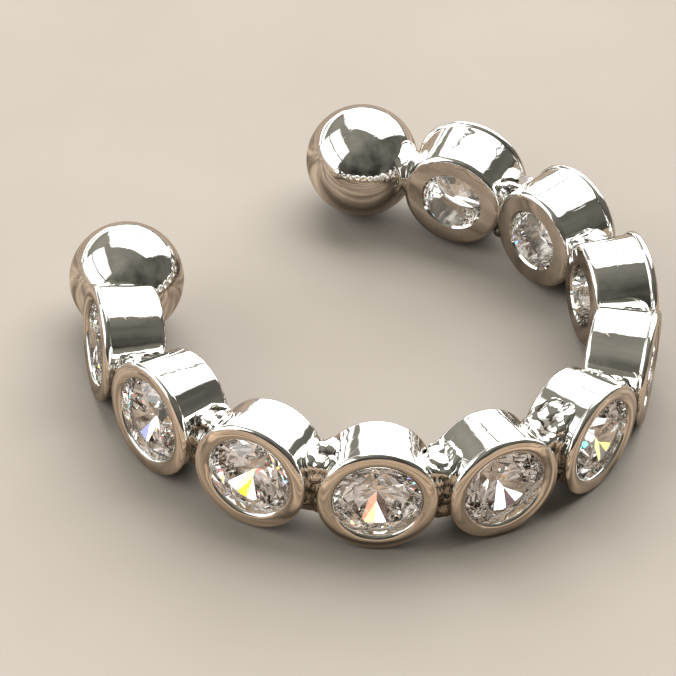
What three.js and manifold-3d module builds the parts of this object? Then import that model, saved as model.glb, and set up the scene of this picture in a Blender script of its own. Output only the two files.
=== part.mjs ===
// Ear cuff: an open ring of ten round bezel cups with clear stones, and a polished ball at each end.
// It lies on its side on z = 0. Millimetres, +Z up. The gap between the balls faces +Y.
// The origin is the middle of the cuff's footprint, on the surface that it lies on.
import * as THREE from 'three';
import { mergeVertices } from 'three/addons/utils/BufferGeometryUtils.js';
import { ConvexGeometry } from 'three/addons/geometries/ConvexGeometry.js';
import Module from 'manifold-3d';

const wasm = await Module();
wasm.setup();

// Driving dimensions
const cupCount = 10;
const cupDiameter = 3.0; // across the flats, so that a cup lies on a flat
const cupDepth = 1.67; // from the back face, on the ear, to the front rim
const cupPitch = 26.2; // degrees from one cup to the next around the ring
const rimReach = 7.21; // from the ring's centre to the front rims
const stoneDiameter = 2.25;
const backHoleDiameter = 1.55;
const ballDiameter = 2.92;
const stoneGap = 0.07; // clearance between a stone and its cup

// Reach is from the ring's centre to a ball's centre, and pitch is the degrees from its end cup
const leftBall = { reach: 6.37, pitch: 22.7 };
const rightBall = { reach: 6.75, pitch: 24.0 };

// The bars soldered between neighbouring cups, from the left end on
const barHeights = [1.2, 1.56, 1.7, 1.7, 1.7, 1.24, 1.0, 1.24, 1.6];
const barDepth = 1.2;
const barWidth = 0.9;
const barInset = 0.02; // from the middle of the cups in towards the ring's centre

// The necks of solder between the balls and their cups
const neckDiameter = 1.7;
const neckLength = 1.2;
const neckSides = 16;
const neckInset = 0.1;

// Smoothness
const cupSides = 24;
const ballSides = 24;

// Round brilliant proportions, as fractions of the stone's diameter
const cut = { table: 0.57, starRing: 0.76, crown: 0.148, starDrop: 0.052, girdle: 0.026, pavilion: 0.431 };

const degrees = Math.PI / 180;
const cupRadius = cupDiameter / 2;
const cornerRadius = cupRadius / Math.cos(Math.PI / cupSides); // a cup's corners stand outside its flats
const axisHeight = cupRadius;
const cupCentreReach = rimReach - cupDepth / 2;
const front = cupDepth / 2;
const back = -cupDepth / 2;

// The stone's girdle lies below the rim, under the lip, so that the table is level with the rim
const stoneRadius = stoneDiameter / 2;
const girdleTop = front - cut.crown * stoneDiameter;
const girdleBottom = girdleTop - cut.girdle * stoneDiameter;
const culet = girdleBottom - cut.pavilion * stoneDiameter;
const pavilionSlope = (cut.pavilion * stoneDiameter) / stoneRadius;

// Angles around the ring, measured from +X. The middle of the row of cups faces -Y.
const cupAngles = Array.from({ length: cupCount },
    (unused, index) => -90 + (index - (cupCount - 1) / 2) * cupPitch);
const barAngles = cupAngles.slice(1).map((angle) => angle - cupPitch / 2);
const ballPlaces = [
    {
        angle: cupAngles[0] - leftBall.pitch,
        reach: leftBall.reach,
        neckAngle: cupAngles[0] - leftBall.pitch / 2,
    },
    {
        angle: cupAngles[cupCount - 1] + rightBall.pitch,
        reach: rightBall.reach,
        neckAngle: cupAngles[cupCount - 1] + rightBall.pitch / 2,
    },
];

function solidFrom(geometry) {
    const plain = geometry.index ? geometry.toNonIndexed() : geometry;
    for (const name of ['normal', 'uv']) plain.deleteAttribute(name);
    const merged = mergeVertices(plain, 1e-5);
    return new wasm.Manifold(new wasm.Mesh({
        numProp: 3,
        vertProperties: new Float32Array(merged.attributes.position.array),
        triVerts: new Uint32Array(merged.index.array),
    }));
}

function geometryFrom(solid) {
    const mesh = solid.getMesh();
    const geometry = new THREE.BufferGeometry();
    geometry.setAttribute('position', new THREE.BufferAttribute(mesh.vertProperties, 3));
    geometry.setIndex(new THREE.BufferAttribute(mesh.triVerts, 1));
    geometry.computeVertexNormals();
    return geometry;
}

// A turned shape about a cup's own axis, from (radius, height) points, with a flat facing down
function turned(points) {
    const profile = points.map(([radius, height]) => new THREE.Vector2(radius, height));
    return new THREE.LatheGeometry(profile, cupSides, Math.PI / cupSides);
}

// Stands a shape, made about +Y, at a place on the ring with its +Y pointing outwards
function onRing(geometry, angle, reach) {
    const outwards = new THREE.Vector3(Math.cos(angle * degrees), Math.sin(angle * degrees), 0);
    const up = new THREE.Vector3(0, 0, 1);
    const along = new THREE.Vector3().crossVectors(outwards, up);
    const place = outwards.clone().multiplyScalar(reach).setZ(axisHeight);
    const turn = new THREE.Matrix4().makeBasis(along, outwards, up).setPosition(place);
    return geometry.clone().applyMatrix4(turn);
}

// The outside of a cup: a drum that tapers to a softened back edge, with a raised band around its rim
function cupBody() {
    const size = (radius) => radius * (cornerRadius / cupRadius);
    return turned([
        [0, back],
        [size(1.19), back],
        [size(1.34), back + 0.15],
        [size(1.44), front - 0.34],
        [size(cupRadius), front - 0.28],
        [size(cupRadius), front - 0.07],
        [size(1.43), front],
        [0, front],
    ]);
}

// The inside of a cup: the rolled lip, the stone's pocket and seat, and the round back hole
function cupBore() {
    const past = 0.4;
    const hole = backHoleDiameter / 2;
    const pocket = stoneRadius + stoneGap;
    const lip = stoneRadius - 0.05;
    const lipEdge = 1.18;
    const seatDrop = 1.2 * stoneGap;
    const seatTop = culet + pocket * pavilionSlope - seatDrop;
    const seatFoot = culet + hole * pavilionSlope - seatDrop;
    return turned([
        [0, back - past],
        [hole, back - past],
        [hole, seatFoot],
        [pocket, Math.min(seatTop, girdleBottom - 0.02)],
        [pocket, girdleTop + stoneGap],
        [lip, girdleTop + 0.12],
        [lip + 0.02, front - 0.09],
        [lipEdge, front],
        [lipEdge, front + past],
        [0, front + past],
    ]);
}

// A round brilliant: every facet's corners, closed by their convex hull
function brilliant() {
    const corners = [];
    const ring = (count, radius, height, turn) => {
        for (let index = 0; index < count; index += 1) {
            const angle = ((index + turn) / count) * 2 * Math.PI;
            corners.push(new THREE.Vector3(radius * Math.cos(angle), height, radius * Math.sin(angle)));
        }
    };
    ring(8, cut.table * stoneRadius, front, 0);
    ring(8, cut.starRing * stoneRadius, front - cut.starDrop * stoneDiameter, 0.5);
    ring(16, stoneRadius, girdleTop, 0);
    ring(16, stoneRadius, girdleBottom, 0);
    corners.push(new THREE.Vector3(0, culet, 0));
    return new ConvexGeometry(corners);
}

function soldered() {
    const body = cupBody();
    const bore = cupBore();
    const bar = (height) => new THREE.BoxGeometry(barWidth, barDepth, height);
    const ball = new THREE.SphereGeometry(ballDiameter / 2, ballSides, ballSides / 2);
    const neckRadius = neckDiameter / 2;
    const neck = new THREE.CylinderGeometry(neckRadius, neckRadius, neckLength, neckSides);
    neck.rotateZ(Math.PI / 2);
    const neckReach = (place) => (place.reach + cupCentreReach) / 2 - neckInset;

    const pieces = [
        ...cupAngles.map((angle) => onRing(body, angle, cupCentreReach)),
        ...barAngles.map((angle, index) => onRing(bar(barHeights[index]), angle, cupCentreReach - barInset)),
        ...ballPlaces.map((place) => onRing(ball, place.angle, place.reach)),
        ...ballPlaces.map((place) => onRing(neck, place.neckAngle, neckReach(place))),
    ];
    const bores = cupAngles.map((angle) => onRing(bore, angle, cupCentreReach));
    const joined = wasm.Manifold.union(pieces.map(solidFrom));
    return joined.subtract(wasm.Manifold.union(bores.map(solidFrom)));
}

const silver = new THREE.MeshStandardMaterial({ color: 0xd9d8d4, roughness: 0.08, metalness: 1 });
const clearStone = new THREE.MeshStandardMaterial({
    color: 0xf2f1f4, roughness: 0.02, metalness: 0, transparent: true, opacity: 0.4,
});

const earCuff = new THREE.Group();

const frame = new THREE.Mesh(geometryFrom(soldered()), silver);
frame.name = 'silver_frame';
earCuff.add(frame);

cupAngles.forEach((angle, index) => {
    const stone = new THREE.Mesh(onRing(brilliant(), angle, cupCentreReach), clearStone);
    stone.name = `stone_${String(index + 1).padStart(2, '0')}`;
    earCuff.add(stone);
});

// The ring is moved along Y so that the middle of its footprint is the origin
const extent = new THREE.Box3().setFromObject(earCuff);
earCuff.position.y = -(extent.min.y + extent.max.y) / 2;

export default earCuff;
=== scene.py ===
"""Ear cuff: ten bezel cups with clear brilliants, soldered in an open ring with a ball at each end."""
import math

import bmesh
import bpy
from mathutils import Matrix, Vector
from mathutils import noise as noise_field


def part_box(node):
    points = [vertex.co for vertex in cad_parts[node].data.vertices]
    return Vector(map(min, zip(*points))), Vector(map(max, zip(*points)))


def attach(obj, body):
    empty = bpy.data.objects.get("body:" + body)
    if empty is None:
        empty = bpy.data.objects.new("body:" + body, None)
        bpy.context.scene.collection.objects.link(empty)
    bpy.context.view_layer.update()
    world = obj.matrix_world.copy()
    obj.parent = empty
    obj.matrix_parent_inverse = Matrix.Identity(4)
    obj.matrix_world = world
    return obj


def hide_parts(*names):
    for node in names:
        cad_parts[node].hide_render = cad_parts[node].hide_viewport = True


MM = 0.001

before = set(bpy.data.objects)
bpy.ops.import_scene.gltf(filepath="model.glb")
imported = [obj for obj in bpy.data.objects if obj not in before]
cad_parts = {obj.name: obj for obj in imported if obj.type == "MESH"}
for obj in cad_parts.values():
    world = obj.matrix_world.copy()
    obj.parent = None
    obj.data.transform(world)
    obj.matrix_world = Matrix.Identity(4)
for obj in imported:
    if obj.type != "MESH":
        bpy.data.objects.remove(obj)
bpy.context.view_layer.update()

# ---------------------------------------------------------------- sizes of the cuff, in millimetres

CUP_COUNT = 10
CUP_RADIUS = 1.5
CUP_DEPTH = 1.67
CUP_PITCH = math.radians(26.2)
RIM_REACH = 7.21
HOLE_RADIUS = 0.775
STONE_RADIUS = 1.125
BALL_RADIUS = 1.46

FRONT = CUP_DEPTH / 2
BACK = -CUP_DEPTH / 2
CUP_REACH = RIM_REACH - CUP_DEPTH / 2
CUP_ANGLES = [-math.pi / 2 + (i - (CUP_COUNT - 1) / 2) * CUP_PITCH for i in range(CUP_COUNT)]

# side: angle around the ring, reach from the ring's centre, angle of the cup that it is soldered to
BALLS = {
    "left": (CUP_ANGLES[0] - math.radians(22.7), 6.37, CUP_ANGLES[0]),
    "right": (CUP_ANGLES[-1] + math.radians(24.0), 6.75, CUP_ANGLES[-1]),
}

# The ring's centre: the right ball is the furthest thing along +Y, and the cups lie on z = 0
frame_low, frame_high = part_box("silver_frame")
furthest_angle, furthest_reach, _ = BALLS["right"]
RING_CENTRE = Vector((
    (frame_low.x + frame_high.x) / 2 / MM,
    frame_high.y / MM - BALL_RADIUS - furthest_reach * math.sin(furthest_angle),
    CUP_RADIUS,
))

# The stone: a round brilliant's proportions and facet slopes
TABLE_SHARE = 0.57
CROWN_SLOPE = math.radians(34.5)
STAR_SLOPE = math.radians(20.2)
UPPER_GIRDLE_SLOPE = math.radians(40.5)
PAVILION_SLOPE = math.radians(40.75)
LOWER_GIRDLE_SLOPE = math.radians(41.95)
GIRDLE_HEIGHT = 0.06
GIRDLE_TOP = FRONT - (1 - TABLE_SHARE) * STONE_RADIUS * math.tan(CROWN_SLOPE)
GIRDLE_BOTTOM = GIRDLE_TOP - GIRDLE_HEIGHT

# How far the solder in each joint reaches above and below the middle of the cups, from the left end on
JOINT_HALF_HEIGHTS = (0.6, 0.78, 0.85, 0.85, 0.8, 0.62, 0.5, 0.62, 0.8)

# How much higher, as a share, the solder in each joint has crept up the side of the next cup
JOINT_CREEPS = (0, 0, 0.2, 0.4, 1.0, 0, 0, 0.2, 0)

# How far each stone is turned in its cup, in sixteenths of the angle between two main facets
STONE_TURNS = (0, 14, 6, 8, 4, 3, 0, 4, 6, 0)
STONE_TURN_STEP = math.pi / 64

# Lumps on the solder: broad swells with beads on them. A scale is how many there are to a millimetre, and
# heights are in millimetres. A bead's radius, shift and pit are shares of the way from bead to bead.
SWELL_SCALE, SWELL_HEIGHT = 2.2, 0.055
BEAD_SCALE, BEAD_HEIGHT = 3.0, 0.07
BEAD_RADIUS = 0.55
BEAD_SHIFT_SCALE, BEAD_SHIFT = 1.6, 0.5
BEAD_SIZE_SCALE, MEAN_BEAD_SIZE, BEAD_SIZE_SPREAD = 1.7, 0.75, 0.5
PIT_START, PIT_FULL = 0.6, 0.75

# Where in the field of lumps the first joint sits. The others sit at its multiples.
FIRST_JOINT_SEAT = Vector((2.9, 6.1, 1.3))

# How dark the solder gets: patina left in the pits between beads, and painted shade on its underside between
# the cups
PATINA_AND_SHADE_TONE = (0.19, 0.17, 0.145, 1)
UNDERSIDE_PAINTED_SHADE = 0.85
UNDERSIDE_START = 0.5  # as a share of the joint's half height

# Fineness of the meshes: steps around a cup and a ball, and millimetres within which points are merged
CUP_STEPS = 96
BALL_STEPS = 80
OUTLINE_MERGE = 1e-5
FACET_MERGE = 1e-4
CUT_MERGE = 1e-6


# ---------------------------------------------------------------- placing and finishing pieces

def on_ring(angle, reach):
    """Turns a shape made about +Z, around the origin, to face outwards at a place on the ring."""
    outwards = Vector((math.cos(angle), math.sin(angle), 0))
    along = Vector((-math.sin(angle), math.cos(angle), 0))
    turn = Matrix((along, Vector((0, 0, 1)), outwards)).transposed().to_4x4()
    return Matrix.Translation(RING_CENTRE + outwards * reach) @ turn


def finish_piece(name, bm, place, materials, stands_for, smooth_below=math.radians(30)):
    """Puts a shape made in millimetres in its place, in metres, and makes it a piece of the cuff."""
    bmesh.ops.transform(bm, matrix=Matrix.Scale(MM, 4) @ place, verts=bm.verts)
    for face in bm.faces:
        face.smooth = smooth_below > 0
    for edge in bm.edges:
        edge.smooth = edge.calc_face_angle(0) < smooth_below
    mesh = bpy.data.meshes.new(name)
    bm.to_mesh(mesh)
    bm.free()
    for material in materials:
        mesh.materials.append(material)
    piece = bpy.data.objects.new(name, mesh)
    bpy.context.scene.collection.objects.link(piece)
    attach(piece, "root")
    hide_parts(stands_for)
    return piece


def arc(centre, radius, start, end, steps):
    """Points of a circle's arc between two angles in degrees, both ends included."""
    angles = [math.radians(start + (end - start) * i / steps) for i in range(steps + 1)]
    return [(centre[0] + radius * math.cos(a), centre[1] + radius * math.sin(a)) for a in angles]


def next_centre(centre, radius, next_radius, angle):
    """The centre of an arc of another radius that carries on smoothly from an arc at an angle in degrees."""
    step = radius - next_radius
    turn = math.radians(angle)
    return (centre[0] + step * math.cos(turn), centre[1] + step * math.sin(turn))


def turned(outline, steps, closed):
    """Spins an outline of (radius, height) points about +Z."""
    bm = bmesh.new()
    verts = [bm.verts.new((radius, 0, height)) for radius, height in outline]
    ends = verts[1:] + verts[:1] if closed else verts[1:]
    edges = [bm.edges.new(pair) for pair in zip(verts, ends)]
    bmesh.ops.spin(bm, geom=verts + edges, cent=(0, 0, 0), axis=(0, 0, 1), dvec=(0, 0, 0),
                   angle=2 * math.pi, steps=steps, use_merge=True, use_duplicate=False)
    bmesh.ops.remove_doubles(bm, verts=bm.verts, dist=OUTLINE_MERGE)
    bmesh.ops.recalc_face_normals(bm, faces=bm.faces)
    return bm


# ---------------------------------------------------------------- shader helpers

def new_group(name, inputs, outputs):
    """A node group with its named sockets, and the nodes for what it is given and what it has made."""
    group = bpy.data.node_groups.new(name, "ShaderNodeTree")
    for label, kind, value in inputs:
        socket = group.interface.new_socket(label, in_out="INPUT", socket_type=kind)
        if value is not None:
            socket.default_value = value
    for label, kind in outputs:
        group.interface.new_socket(label, in_out="OUTPUT", socket_type=kind)
    return group, group.nodes.new("NodeGroupInput"), group.nodes.new("NodeGroupOutput")


def put(tree, socket, value):
    """Links a socket to another node's socket, or sets its value."""
    if isinstance(value, bpy.types.NodeSocket):
        tree.links.new(value, socket)
    elif value is not None:
        socket.default_value = value


def calc(tree, operation, a, b=None, c=None, clamp=False):
    node = tree.nodes.new("ShaderNodeMath")
    node.operation = operation
    node.use_clamp = clamp
    for socket, value in zip(node.inputs, (a, b, c)):
        put(tree, socket, value)
    return node.outputs[0]


def noise(tree, vector, scale, detail=2.0):
    node = tree.nodes.new("ShaderNodeTexNoise")
    put(tree, node.inputs["Vector"], vector)
    put(tree, node.inputs["Scale"], scale)
    put(tree, node.inputs["Detail"], detail)
    put(tree, node.inputs["Roughness"], 0.5)
    return node.outputs["Fac"]


def fit_range(tree, value, low, high, new_low, new_high):
    node = tree.nodes.new("ShaderNodeMapRange")
    for label, number in (("Value", value), ("From Min", low), ("From Max", high),
                          ("To Min", new_low), ("To Max", new_high)):
        put(tree, node.inputs[label], number)
    return node.outputs["Result"]


def mix_colour(tree, factor, a, b, blend="MIX"):
    node = tree.nodes.new("ShaderNodeMix")
    node.data_type = "RGBA"
    node.blend_type = blend
    put(tree, node.inputs["Factor"], factor)
    put(tree, node.inputs["A"], a)
    put(tree, node.inputs["B"], b)
    return node.outputs["Result"]


def principled(name):
    material = bpy.data.materials.new(name)
    material.use_nodes = True
    tree = material.node_tree
    return material, tree, tree.nodes["Principled BSDF"]


# ---------------------------------------------------------------- materials

POLISHED_BRIGHT = (0.93, 0.92, 0.89, 1)
POLISHED_DULL = (0.86, 0.85, 0.82, 1)
CAST_DARK = (0.80, 0.77, 0.73, 1)
CAST_PALE = (0.90, 0.88, 0.84, 1)
STONE_CLEAR = (1.0, 1.0, 1.0, 1)
STONE_HAZE = (0.97, 0.97, 0.985, 1)

# The scales of noise in metal and stone count to a metre. Each set of scratches has a turn, and is noise
# that is stretched out along the other two axes.
POLISH_WAVE_SCALE = 900.0
SMUDGE_SCALE = 900.0
SCRATCHES = (
    ((0.3, 0.5, 0.2), (16000, 900, 900)),
    ((1.1, -0.4, 0.9), (900, 14000, 900)),
)
SCRATCH_ROUGHNESS = 0.05
CAST_GRAIN_SCALE = 9000.0
HAZE_SCALE = 700.0
HAZE_ROUGHNESS = 0.004


def hand_polish_group():
    """Buffed metal: broad waves left by hand polishing, hairline scratches, and smudges."""
    group, given, made = new_group(
        "hand_polish",
        (("Wave Height", "NodeSocketFloat", 0.5), ("Scratch Height", "NodeSocketFloat", 0.1),
         ("Smooth", "NodeSocketFloat", 0.03), ("Smudged", "NodeSocketFloat", 0.09)),
        (("Roughness", "NodeSocketFloat"), ("Height", "NodeSocketFloat"), ("Tone", "NodeSocketFloat")))
    place = group.nodes.new("ShaderNodeTexCoord").outputs["Object"]
    waves = noise(group, place, POLISH_WAVE_SCALE)
    smudges = noise(group, place, SMUDGE_SCALE, 3.0)
    scratches = []
    for turn, stretch in SCRATCHES:
        mapping = group.nodes.new("ShaderNodeMapping")
        put(group, mapping.inputs["Vector"], place)
        mapping.inputs["Rotation"].default_value = turn
        mapping.inputs["Scale"].default_value = stretch
        lines = noise(group, mapping.outputs["Vector"], 1.0, 1.0)
        scratches.append(fit_range(group, lines, 0.66, 0.74, 0.0, 1.0))
    scratch = calc(group, "ADD", scratches[0], scratches[1], clamp=True)
    high = calc(group, "MULTIPLY", waves, given.outputs["Wave Height"])
    low = calc(group, "MULTIPLY", scratch, given.outputs["Scratch Height"])
    put(group, made.inputs["Height"], calc(group, "SUBTRACT", high, low))
    smudge = fit_range(group, smudges, 0.45, 0.7, 0.0, 1.0)
    spread = calc(group, "SUBTRACT", given.outputs["Smudged"], given.outputs["Smooth"])
    rough = calc(group, "MULTIPLY_ADD", smudge, spread, given.outputs["Smooth"])
    put(group, made.inputs["Roughness"], calc(group, "MULTIPLY_ADD", scratch, SCRATCH_ROUGHNESS, rough))
    put(group, made.inputs["Tone"], calc(group, "ADD", smudge, scratch, clamp=True))
    return group


def polished_silver(name, polish, with_patina_and_shade=False):
    """Hand-polished silver, which on solder is dark with patina in its pits and painted shade on its
    underside.
    """
    material, tree, shader = principled(name)
    buffed = tree.nodes.new("ShaderNodeGroup")
    buffed.node_tree = polish
    buffed.inputs["Wave Height"].default_value = 1.0
    buffed.inputs["Scratch Height"].default_value = 0.02
    buffed.inputs["Smooth"].default_value = 0.025
    buffed.inputs["Smudged"].default_value = 0.075
    bump = tree.nodes.new("ShaderNodeBump")
    bump.inputs["Strength"].default_value = 1.0
    bump.inputs["Distance"].default_value = 0.035 * MM
    put(tree, bump.inputs["Height"], buffed.outputs["Height"])
    put(tree, shader.inputs["Normal"], bump.outputs["Normal"])
    put(tree, shader.inputs["Roughness"], buffed.outputs["Roughness"])
    tone = mix_colour(tree, buffed.outputs["Tone"], POLISHED_BRIGHT, POLISHED_DULL)
    if with_patina_and_shade:
        patina_and_shade_attribute = tree.nodes.new("ShaderNodeAttribute")
        patina_and_shade_attribute.attribute_name = "pit_patina_and_shade"
        # patina in the pits and painted shade on the underside darken the solder's colour
        tone = mix_colour(tree, patina_and_shade_attribute.outputs["Fac"], tone, PATINA_AND_SHADE_TONE)
    put(tree, shader.inputs["Base Color"], tone)
    shader.inputs["Metallic"].default_value = 1.0
    return material


def cast_silver():
    """The unpolished inside of a cup: satin, with the fine grain of the casting."""
    material, tree, shader = principled("as_cast_silver")
    place = tree.nodes.new("ShaderNodeTexCoord").outputs["Object"]
    grain = noise(tree, place, CAST_GRAIN_SCALE)
    bump = tree.nodes.new("ShaderNodeBump")
    bump.inputs["Strength"].default_value = 0.6
    bump.inputs["Distance"].default_value = 0.01 * MM
    put(tree, bump.inputs["Height"], grain)
    put(tree, shader.inputs["Normal"], bump.outputs["Normal"])
    put(tree, shader.inputs["Roughness"], fit_range(tree, grain, 0.3, 0.7, 0.28, 0.42))
    put(tree, shader.inputs["Base Color"], mix_colour(tree, grain, CAST_DARK, CAST_PALE))
    shader.inputs["Metallic"].default_value = 1.0
    return material


def clear_stone():
    """A clear stone with a faint haze, such as the touch of a finger leaves on it."""
    material, tree, shader = principled("clear_brilliant")
    place = tree.nodes.new("ShaderNodeTexCoord").outputs["Object"]
    haze = fit_range(tree, noise(tree, place, HAZE_SCALE), 0.4, 0.7, 0.0, 1.0)
    tone = mix_colour(tree, haze, STONE_CLEAR, STONE_HAZE)
    put(tree, shader.inputs["Base Color"], tone)
    put(tree, shader.inputs["Roughness"], calc(tree, "MULTIPLY", haze, HAZE_ROUGHNESS))
    shader.inputs["IOR"].default_value = 2.16
    shader.inputs["Transmission Weight"].default_value = 1.0
    return material


# ---------------------------------------------------------------- the cuff's pieces

def bezel_cup():
    """A cup, as an outline of (radius, height) points that is spun about its axis.

    Its inside, where the stone sits, is left as cast and takes the second material."""
    wall_back, wall_front, back_round = 1.34, 1.43, 0.15
    lip_inside = STONE_RADIUS - 0.06
    bead, crown, roll = 0.11, 0.35, 0.1
    crown_from = 65
    seat_rise = math.tan(PAVILION_SLOPE)
    culet = GIRDLE_BOTTOM - STONE_RADIUS * seat_rise
    gap = 0.05
    pocket = STONE_RADIUS + gap
    hole_bevel = 0.05
    lip_draft = 0.02
    lip_foot, ledge, pocket_top = GIRDLE_TOP + 0.1, GIRDLE_TOP + 0.065, GIRDLE_TOP + 0.045

    # the back: a flat around the hole and a softened edge, then the tapered wall
    outline = [(HOLE_RADIUS + hole_bevel, BACK)]
    outline += arc((wall_back - back_round, BACK + back_round), back_round, -90, -5, 8)
    # the lip: a rolled bead whose outside, front and inside are arcs that run into each other
    outside = (CUP_RADIUS - bead, FRONT - crown + (crown - bead) * math.sin(math.radians(crown_from)))
    front = next_centre(outside, bead, crown, crown_from)
    roll_from = math.degrees(math.acos((lip_inside + lip_draft + roll - front[0]) / (crown - roll)))
    inside = next_centre(front, crown, roll, roll_from)
    groove = math.degrees(math.acos((wall_front - outside[0]) / bead))
    outline += arc(outside, bead, -groove, crown_from, 14)
    outline += arc(front, crown, crown_from, roll_from, 10)[1:]
    outline += arc(inside, roll, roll_from, 175, 8)[1:]
    # the lip's steep inside, the pocket, the seat and the hole
    outline += [(lip_inside, lip_foot), (lip_inside, ledge)]
    outline += [(pocket, pocket_top), (pocket, culet + pocket * seat_rise - gap)]
    outline += [(HOLE_RADIUS, culet + HOLE_RADIUS * seat_rise - gap), (HOLE_RADIUS, BACK + hole_bevel)]
    bm = turned(outline, CUP_STEPS, closed=True)
    for face in bm.faces:
        middle = face.calc_center_median()
        within_pocket = HOLE_RADIUS + 0.01 < middle.xy.length < pocket + 0.005
        if within_pocket and BACK / 2 < middle.z < ledge:
            face.material_index = 1
    return bm


def share_along(value, start, end):
    """How far a value has gone from the start to the end, from 0 to 1."""
    return min(max((value - start) / (end - start), 0), 1)


def joint_bar(number):
    """A lump of cast solder between two cups: a rounded block whose ends sink into both cups' walls.

    It is made at the plane half-way between the cups: +Z outwards, +X along the ring, +Y up. Each
    point keeps how dark it is, from patina in the pits and painted shade on the underside, which its material
    reads."""
    half_height, creep = JOINT_HALF_HEIGHTS[number - 1], JOINT_CREEPS[number - 1]
    half_depth, middle = 0.6, -0.02
    sunk_to, thinnest = 1.33, 0.03
    squareness = 5
    bm = bmesh.new()
    bmesh.ops.create_icosphere(bm, subdivisions=5, radius=1)
    half_pitch = CUP_PITCH / 2
    for vert in bm.verts:
        x, y, z = vert.co
        to_block = sum(abs(part) ** squareness for part in (x, y, z)) ** (1 / squareness)
        x, y, z = vert.co / to_block
        height = y * half_height
        if x > 0 and y > 0:
            height *= 1 + creep * x ** 2
        depth = middle + z * half_depth
        reach = (CUP_REACH + depth) * math.tan(half_pitch)
        end = reach - math.sqrt(sunk_to ** 2 - height ** 2) / math.cos(half_pitch)
        vert.co = (x * max(end, thinnest), height, depth)
    bm.normal_update()
    seat = FIRST_JOINT_SEAT * number
    pit_patina_and_shade = bm.verts.layers.float.new("pit_patina_and_shade")
    lumps = [(vert, vert.normal.copy(), *solder_lumps(vert.co, seat)) for vert in bm.verts]
    for vert, outwards, rise, pit in lumps:
        # painted shade grows towards the underside; the pits get patina
        underside = share_along(vert.co.y, UNDERSIDE_START * half_height, 0)
        vert[pit_patina_and_shade] = max(pit, UNDERSIDE_PAINTED_SHADE * underside)
        vert.co += outwards * rise
    return bm


def solder_lumps(place, seat):
    """How far cast solder stands out at a place, in broad swells with beads on them, and how much of
    a pit between beads the place is, from 0 to 1."""
    swell = noise_field.noise(place * SWELL_SCALE + seat)
    shift = Vector([noise_field.noise(place * BEAD_SHIFT_SCALE + seat * times) for times in (2, 3, 5)])
    from_bead = noise_field.voronoi(place * BEAD_SCALE + seat + BEAD_SHIFT * shift)[0][0]
    bead = 1 - (from_bead / BEAD_RADIUS) ** 2
    size = MEAN_BEAD_SIZE + BEAD_SIZE_SPREAD * noise_field.noise(place * BEAD_SIZE_SCALE - seat)
    rise = SWELL_HEIGHT * swell + BEAD_HEIGHT * size * bead
    return rise, share_along(from_bead, PIT_START, PIT_FULL)


def end_ball(spacing):
    """A ball about the origin with its solder neck along +Z, flared to the end cup's wall."""
    fillet = 0.12
    cup_wall = 1.4
    to_ball = BALL_RADIUS + fillet
    to_cup = cup_wall + fillet
    along = (to_ball ** 2 - to_cup ** 2 + spacing ** 2) / (2 * spacing)
    out = math.sqrt(to_ball ** 2 - along ** 2)
    leave = math.degrees(math.atan2(along, out))
    meet = math.degrees(math.atan2(spacing - along, out))
    outline = arc((0, 0), BALL_RADIUS, -90, leave, 44)
    outline += arc((out, along), fillet, 180 + leave, 180 - meet, 10)[1:]
    outline += [(0, outline[-1][1])]
    return turned(outline, BALL_STEPS, closed=False)


def grind(bm, slope, turn, point):
    """Grinds one flat facet: its plane goes through a point and leans by a slope at a turn about +Z.

    A slope of zero grinds the table, and a slope below zero grinds the underside."""
    side = Vector((math.cos(turn), math.sin(turn), 0))
    normal = side * math.sin(abs(slope)) + Vector((0, 0, math.copysign(math.cos(slope), slope)))
    everything = list(bm.verts) + list(bm.edges) + list(bm.faces)
    cut = bmesh.ops.bisect_plane(bm, geom=everything, dist=CUT_MERGE, plane_co=point, plane_no=normal,
                                 clear_outer=True)
    edges = [e for e in cut["geom_cut"] if isinstance(e, bmesh.types.BMEdge) and e.is_boundary]
    bmesh.ops.contextual_create(bm, geom=edges)


def brilliant():
    """A round brilliant ground facet by facet from a short cylinder, with its table towards +Z."""
    bm = bmesh.new()
    bmesh.ops.create_cone(bm, cap_ends=True, segments=64, radius1=STONE_RADIUS, radius2=STONE_RADIUS, depth=3)
    eighth = math.pi / 4

    def edge_point(turn, height):
        return Vector((STONE_RADIUS * math.cos(turn), STONE_RADIUS * math.sin(turn), height))

    for i in range(16):
        turn = eighth * (i + 0.5) / 2
        grind(bm, UPPER_GIRDLE_SLOPE, turn, edge_point(turn + eighth / 4, GIRDLE_TOP))
        grind(bm, -LOWER_GIRDLE_SLOPE, turn, edge_point(turn + eighth / 4, GIRDLE_BOTTOM))
    for i in range(8):
        turn = eighth * i
        grind(bm, CROWN_SLOPE, turn, edge_point(turn, GIRDLE_TOP))
        grind(bm, -PAVILION_SLOPE, turn, edge_point(turn, GIRDLE_BOTTOM))
        table_corner = Vector((math.cos(turn), math.sin(turn), 0)) * TABLE_SHARE * STONE_RADIUS
        grind(bm, STAR_SLOPE, turn + eighth / 2, table_corner + Vector((0, 0, FRONT)))
    grind(bm, 0, 0, Vector((0, 0, FRONT)))
    bmesh.ops.remove_doubles(bm, verts=bm.verts, dist=FACET_MERGE)
    bmesh.ops.recalc_face_normals(bm, faces=bm.faces)
    return bm


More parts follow.
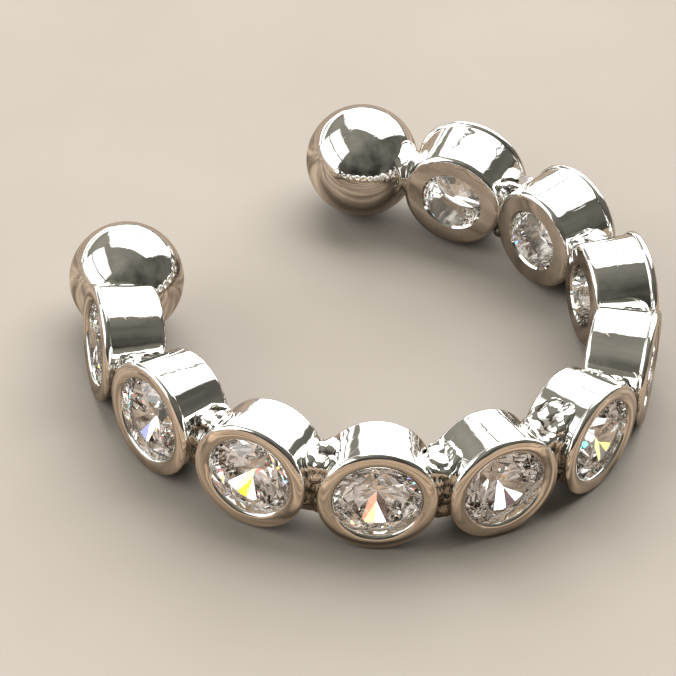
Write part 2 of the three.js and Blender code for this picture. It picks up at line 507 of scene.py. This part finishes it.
def make_cuff():
    """All the pieces, from the left end of the ring round its front to the right end."""
    polish = hand_polish_group()
    silver = (polished_silver("mirror_polished_silver", polish),)
    solder = (polished_silver("cast_solder_silver", polish, with_patina_and_shade=True),)
    cup_silver = silver + (cast_silver(),)
    clear = (clear_stone(),)
    for i, angle in enumerate(CUP_ANGLES, start=1):
        place = on_ring(angle, CUP_REACH)
        finish_piece(f"bezel_cup_{i:02d}", bezel_cup(), place, cup_silver,
                     "silver_frame")
        turn = Matrix.Rotation(STONE_TURNS[i - 1] * STONE_TURN_STEP, 4, "Z")
        stone = f"stone_{i:02d}"
        finish_piece(f"brilliant_{i:02d}", brilliant(), place @ turn, clear, stone,
                     smooth_below=0)
    for i, angle in enumerate(CUP_ANGLES[:-1], start=1):
        place = on_ring(angle + CUP_PITCH / 2, CUP_REACH)
        finish_piece(f"joint_bar_{i:02d}", joint_bar(i), place, solder, "silver_frame")
    for side, (angle, reach, cup_angle) in BALLS.items():
        ball = Vector((math.cos(angle), math.sin(angle), 0)) * reach
        cup = Vector((math.cos(cup_angle), math.sin(cup_angle), 0)) * CUP_REACH
        to_cup = cup - ball
        place = Matrix.Translation(RING_CENTRE + ball) @ to_cup.to_track_quat("Z", "Y").to_matrix().to_4x4()
        finish_piece(f"end_ball_{side}", end_ball(to_cup.length), place, silver,
                     "silver_frame")


# ---------------------------------------------------------------- floor, light and camera

# The camera's aim is from the ring's centre. It and the distance are in millimetres.
VIEW_AZIMUTH = math.radians(-43.3)
VIEW_ELEVATION = math.radians(38.5)
VIEW_ROLL = math.radians(5.16)
VIEW_DISTANCE = 160
VIEW_AIM = Vector((-1.17, -0.04, 0))
VIEW_LENS = 337.4
SENSOR_WIDTH = 36

FLOOR_HALF_SIZE = 2.5
PAPER_GRAIN_SCALE = 160.0
PAPER_DARK = (0.66, 0.59, 0.51, 1)
PAPER_PALE = (0.70, 0.63, 0.55, 1)

# The cuff reflects the floor as a painted reflection, a warm streaked brown that only reflected rays see,
# with painted light making it paler in front, which gives its silver depth.
# The streaks run across, so what is in front is counted along their Y, which is in millimetres.
REFLECTED_DARK = (0.19, 0.14, 0.10, 1)
REFLECTED_PALE = (0.60, 0.46, 0.35, 1)
REFLECTED_PAINTED_LIGHT = (0.86, 0.62, 0.43, 1)
STREAK_SIZE = (8 * MM, MM, MM)
FRONT_START, FRONT_FULL = -1.0, -8.0


def make_floor():
    """A sheet of pale paper, plain to the eye; in what the cuff reflects it shows a painted reflection
    instead.
    """
    bm = bmesh.new()
    bmesh.ops.create_grid(bm, x_segments=1, y_segments=1, size=FLOOR_HALF_SIZE)
    mesh = bpy.data.meshes.new("pale_floor")
    bm.to_mesh(mesh)
    bm.free()
    floor = bpy.data.objects.new("pale_floor", mesh)
    bpy.context.scene.collection.objects.link(floor)
    material, tree, shader = principled("pale_paper")
    place = tree.nodes.new("ShaderNodeTexCoord").outputs["Object"]
    grain = fit_range(tree, noise(tree, place, PAPER_GRAIN_SCALE, 3.0), 0.3, 0.7, 0.0, 1.0)
    paper = mix_colour(tree, grain, PAPER_DARK, PAPER_PALE)
    stretch = tree.nodes.new("ShaderNodeMapping")
    stretch.vector_type = "TEXTURE"
    stretch.inputs["Rotation"].default_value = (0, 0, VIEW_AZIMUTH)
    stretch.inputs["Scale"].default_value = STREAK_SIZE
    put(tree, stretch.inputs["Vector"], place)
    streaks = fit_range(tree, noise(tree, stretch.outputs["Vector"], 1.0), 0.35, 0.65, 0.0, 1.0)
    parts = tree.nodes.new("ShaderNodeSeparateXYZ")
    put(tree, parts.inputs[0], stretch.outputs["Vector"])
    # painted light: the reflected floor grows paler towards the front of the cuff
    painted_front_light = fit_range(tree, parts.outputs["Y"], FRONT_START, FRONT_FULL, 0.0, 1.0)
    pale = mix_colour(tree, painted_front_light, REFLECTED_PALE, REFLECTED_PAINTED_LIGHT)
    painted_reflection = mix_colour(tree, streaks, REFLECTED_DARK, pale)
    # camera rays see the plain paper; every other ray sees the painted reflection
    seen = tree.nodes.new("ShaderNodeLightPath").outputs["Is Camera Ray"]
    put(tree, shader.inputs["Base Color"], mix_colour(tree, seen, painted_reflection, paper))
    shader.inputs["Roughness"].default_value = 0.8
    shader.inputs["Specular IOR Level"].default_value = 0.15
    mesh.materials.append(material)


WINDOW_HALF_BAR = 0.022
BAR_SOFTNESS = 0.02


def window_group():
    """A soft rectangle of light in a direction, with a level bar across it: 1 inside, 0 outside."""
    group, given, made = new_group(
        "soft_window",
        (("Direction", "NodeSocketVector", None), ("Azimuth", "NodeSocketFloat", 0.0),
         ("Elevation", "NodeSocketFloat", 0.0), ("Half Width", "NodeSocketFloat", 0.5),
         ("Half Height", "NodeSocketFloat", 0.5), ("Half Bar", "NodeSocketFloat", 0.02),
         ("Softness", "NodeSocketFloat", 0.1)),
        (("Mask", "NodeSocketFloat"),))
    ahead_of_window = given.outputs["Direction"]
    for axis, angle in (("Z_AXIS", given.outputs["Azimuth"]),
                        ("X_AXIS", calc(group, "MULTIPLY", given.outputs["Elevation"], -1.0))):
        turn = group.nodes.new("ShaderNodeVectorRotate")
        turn.rotation_type = axis
        put(group, turn.inputs["Vector"], ahead_of_window)
        put(group, turn.inputs["Angle"], angle)
        ahead_of_window = turn.outputs["Vector"]
    parts = group.nodes.new("ShaderNodeSeparateXYZ")
    put(group, parts.inputs[0], ahead_of_window)
    ahead = calc(group, "MAXIMUM", parts.outputs["Y"], 0.001)
    sides = []
    for axis, half in (("X", "Half Width"), ("Z", "Half Height")):
        offset = calc(group, "ABSOLUTE", calc(group, "DIVIDE", parts.outputs[axis], ahead))
        inside = calc(group, "SUBTRACT", given.outputs[half], offset)
        edge = calc(group, "DIVIDE", inside, given.outputs["Softness"])
        sides.append(calc(group, "ADD", edge, 0.5, clamp=True))
    # the bar is cut from the last offset, the one in height
    past_bar = calc(group, "SUBTRACT", offset, given.outputs["Half Bar"])
    bar_edge = calc(group, "DIVIDE", past_bar, BAR_SOFTNESS)
    panes = calc(group, "MULTIPLY", sides[1], calc(group, "ADD", bar_edge, 0.5, clamp=True))
    put(group, made.inputs["Mask"], calc(group, "MULTIPLY", sides[0], panes))
    return group


# name: azimuth clockwise from straight behind the cuff as the camera sees it, elevation,
# half width and half height as tangents, edge softness, brightness
WINDOWS = {
    "back_window": (14, 42, 0.76, 0.76, 0.10, 2.6),
    "left_window": (-100, 25, 0.58, 0.44, 0.08, 1.8),
    "low_window": (-42, 5, 0.50, 0.11, 0.05, 1.7),
}

# The room is paler on its side between the windows, with broad uneven patches
ROOM_DARK = (0.030, 0.028, 0.023, 1)
ROOM_PALE = (0.34, 0.325, 0.275, 1)
PALE_SIDE = (-50, 55)
MOST_FROM_SIDE = 0.65
PATCH_SCALE, MOST_FROM_PATCH = 1.7, 0.35

# A stone gathers the whole room, so each facet shows a small patch of it, and sees its windows sharper
FLECK_SCALE = 5.0
SHARPENED = 0.75
STONE_ROOM_DARK = (0.15, 0.12, 0.10, 1)
STONE_ROOM_PALE = (0.74, 0.65, 0.57, 1)

BACKDROP = (0.75, 0.68, 0.59, 1)

# A stone splits the light: through it, each window's colours lie a little apart, and spots of it flash
# in a hue of their own, which is whole in a spot's core, a share of its radius.
# Hue: azimuth, elevation and radius in degrees, and what is left of each colour.
FIRE_SPREAD = math.radians(4.5)
RED_GREEN_BLUE_SHIFTS = (-1, 0, 0.6)
FIRE_PALENESS = 0.15
FLASH_CORE = 0.7
FLASHES = {
    "yellow": (21, 17, 3.5, (0.62, 0.50, 0.03, 1)),
    "green": (29, 9, 3.5, (0.50, 0.62, 0.40, 1)),
    "violet": (30, 16.5, 3, (0.27, 0.29, 0.52, 1)),
    "salmon": (26, 22, 2.8, (0.55, 0.27, 0.17, 1)),
    "cream": (11.5, 23, 3, (0.62, 0.58, 0.28, 1)),
    "lime": (-23, 23, 3.5, (0.62, 0.64, 0.35, 1)),
    "mauve": (-27, 13, 2.4, (0.22, 0.30, 0.10, 1)),
    "umber": (-23, 16, 2.4, (0.05, 0.16, 0.14, 1)),
}
WHITE = (1, 1, 1, 1)


def towards(azimuth, elevation):
    """A direction from its azimuth, clockwise from straight behind the cuff, and its elevation."""
    turn, rise = math.radians(azimuth) - VIEW_AZIMUTH, math.radians(elevation)
    return (math.sin(turn) * math.cos(rise), math.cos(turn) * math.cos(rise), math.sin(rise))


def facing(tree, direction, azimuth, elevation):
    """How far a direction agrees with another one: the cosine between them."""
    node = tree.nodes.new("ShaderNodeVectorMath")
    node.operation = "DOT_PRODUCT"
    put(tree, node.inputs[0], direction)
    node.inputs[1].default_value = towards(azimuth, elevation)
    return node.outputs["Value"]


def make_studio():
    """Soft windows in a dim room, which the silver and the stones see, and a plain backdrop."""
    world = bpy.data.worlds.new("studio")
    bpy.context.scene.world = world
    world.use_nodes = True
    tree = world.node_tree
    background = tree.nodes["Background"]
    direction = tree.nodes.new("ShaderNodeTexCoord").outputs["Generated"]
    window = window_group()
    rays = tree.nodes.new("ShaderNodeLightPath")
    through_stone = rays.outputs["Is Transmission Ray"]
    # through a stone the windows have no bar
    half_bar = calc(tree, "SUBTRACT", WINDOW_HALF_BAR, through_stone)
    channels = []
    for shift in RED_GREEN_BLUE_SHIFTS:
        total = None
        for azimuth, elevation, half_width, half_height, softness, brightness in WINDOWS.values():
            node = tree.nodes.new("ShaderNodeGroup")
            node.node_tree = window
            put(tree, node.inputs["Direction"], direction)
            spread = calc(tree, "MULTIPLY", through_stone, shift * FIRE_SPREAD)
            put(tree, node.inputs["Azimuth"],
                calc(tree, "ADD", spread, math.radians(azimuth) - VIEW_AZIMUTH))
            put(tree, node.inputs["Elevation"], calc(tree, "ADD", spread, math.radians(elevation)))
            node.inputs["Half Width"].default_value = half_width
            node.inputs["Half Height"].default_value = half_height
            put(tree, node.inputs["Half Bar"], half_bar)
            put(tree, node.inputs["Softness"],
                calc(tree, "MULTIPLY_ADD", through_stone, -SHARPENED * softness, softness))
            light = calc(tree, "MULTIPLY", node.outputs["Mask"], brightness)
            total = light if total is None else calc(tree, "ADD", total, light)
        channels.append(total)
    split = tree.nodes.new("ShaderNodeCombineColor")
    for socket, channel in zip(split.inputs, channels):
        put(tree, socket, channel)
    in_all = calc(tree, "ADD", calc(tree, "ADD", channels[0], channels[1]), channels[2])
    glow = mix_colour(tree, FIRE_PALENESS, split.outputs[0], calc(tree, "DIVIDE", in_all, 3.0))
    pale_side = fit_range(tree, facing(tree, direction, *PALE_SIDE), 0.0, 1.0, 0.0, MOST_FROM_SIDE)
    patches = fit_range(tree, noise(tree, direction, PATCH_SCALE), 0.35, 0.65, 0.0, MOST_FROM_PATCH)
    room = mix_colour(tree, calc(tree, "ADD", pale_side, patches), ROOM_DARK, ROOM_PALE)
    flecks = fit_range(tree, noise(tree, direction, FLECK_SCALE), 0.38, 0.62, 0.0, 1.0)
    room = mix_colour(tree, through_stone, room, mix_colour(tree, flecks, STONE_ROOM_DARK, STONE_ROOM_PALE))
    lit_room = mix_colour(tree, 1.0, room, glow, "ADD")
    for azimuth, elevation, radius, colour in FLASHES.values():
        edge, core = math.cos(math.radians(radius)), math.cos(math.radians(FLASH_CORE * radius))
        flash = fit_range(tree, facing(tree, direction, azimuth, elevation), edge, core, 0.0, 1.0)
        hue = mix_colour(tree, calc(tree, "MULTIPLY", flash, through_stone), WHITE, colour)
        lit_room = mix_colour(tree, 1.0, lit_room, hue, "MULTIPLY")
    seen = mix_colour(tree, rays.outputs["Is Camera Ray"], lit_room, BACKDROP)
    put(tree, background.inputs["Color"], seen)


def make_camera():
    """A long lens, so the cuff keeps its proportions, a little rolled and with everything sharp."""
    data = bpy.data.cameras.new("camera")
    data.lens = VIEW_LENS
    data.sensor_width = SENSOR_WIDTH
    data.clip_start = 0.01
    camera = bpy.data.objects.new("camera", data)
    bpy.context.scene.collection.objects.link(camera)
    back = Vector((
        math.sin(VIEW_AZIMUTH) * math.cos(VIEW_ELEVATION),
        -math.cos(VIEW_AZIMUTH) * math.cos(VIEW_ELEVATION),
        math.sin(VIEW_ELEVATION),
    ))
    place = Matrix.Translation((RING_CENTRE + VIEW_AIM + back * VIEW_DISTANCE) * MM)
    turn = (-back).to_track_quat("-Z", "Y").to_matrix().to_4x4()
    camera.matrix_world = place @ turn @ Matrix.Rotation(VIEW_ROLL, 4, "Z")
    bpy.context.scene.camera = camera


def set_light_paths():
    """Enough bounces for light to leave the stones, and the tone curve for a bright studio."""
    scene = bpy.context.scene
    scene.cycles.max_bounces = 24
    scene.cycles.transmission_bounces = 24
    scene.cycles.glossy_bounces = 12
    scene.cycles.caustics_reflective = False
    scene.cycles.caustics_refractive = False
    scene.view_settings.view_transform = "Standard"


make_cuff()
make_floor()
make_studio()
make_camera()
set_light_paths()
